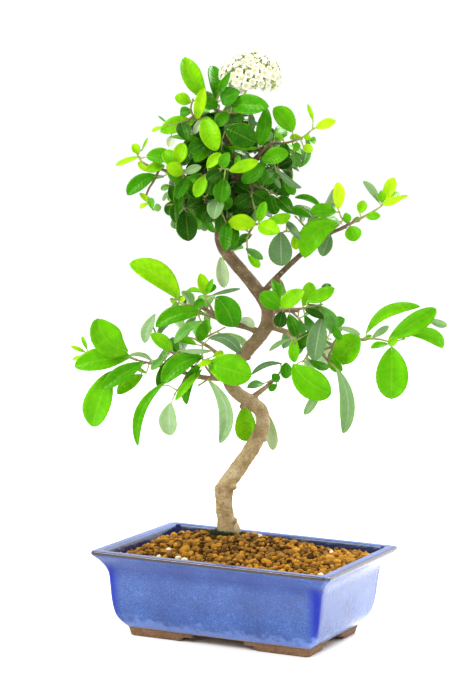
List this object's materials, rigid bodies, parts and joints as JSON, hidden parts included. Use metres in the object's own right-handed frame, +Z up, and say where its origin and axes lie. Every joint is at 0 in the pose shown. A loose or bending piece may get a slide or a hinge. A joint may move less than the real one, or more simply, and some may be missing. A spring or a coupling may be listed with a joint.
{
  "type": "firethorn bonsai",
  "caption": "Small trained firethorn tree with an S-shaped trunk, leafy shoots and a flower head, growing in a rectangular blue glazed pot with corner feet.",
  "frame": {"origin": "middle of the whole object's bounding box seen from above, at the height of the surface that the pot's feet stand on", "axes": "+Z up along the trunk, +X along the pot's long side to the right as seen from the front, +Y from the front to the back"},
  "size_m": [0.223, 0.1558, 0.3856],
  "materials": {
    "pot": "gloss",
    "drainage_net": "matte",
    "soil": "matte",
    "wood": "matte",
    "foliage": "satin",
    "flower_head": "matte"
  },
  "bodies": {
    "root": {"pot": "pot", "drainage_net_1": "drainage_net", "drainage_net_2": "drainage_net", "soil": "soil", "wood": "wood", "flower_head": "flower_head", "shoot_low_left_tip": "foliage", "shoot_low_left_mid": "foliage", "shoot_low_near": "foliage", "shoot_mid_left_tip": "foliage", "shoot_mid_left_rosette": "foliage", "shoot_behind_bend": "foliage", "shoot_low_right": "foliage", "shoot_right_fork": "foliage", "shoot_right_low": "foliage", "shoot_right_inner": "foliage", "shoot_high_right": "foliage", "shoot_far_right": "foliage", "shoot_upper_right_tip": "foliage", "shoot_upper_right_mid": "foliage", "shoot_crown_front": "foliage", "shoot_crown_left_tip": "foliage", "shoot_crown_low_left": "foliage", "shoot_crown_inner_left": "foliage", "shoot_crown_inner_right": "foliage", "shoot_crown_inner_low": "foliage", "shoot_crown_top_left": "foliage", "shoot_crown_leader": "foliage", "shoot_crown_mid_front": "foliage", "shoot_crown_right": "foliage", "shoot_low_back": "foliage", "shoot_low_left_back": "foliage", "shoot_mid_left_back": "foliage", "shoot_mid_back": "foliage", "shoot_right_back": "foliage", "shoot_trunk_back": "foliage", "shoot_upper_right_back": "foliage", "shoot_crown_back": "foliage", "shoot_crown_back_right": "foliage", "shoot_crown_back_top": "foliage", "shoot_crown_back_left": "foliage"}
  },
  "joints": []
}
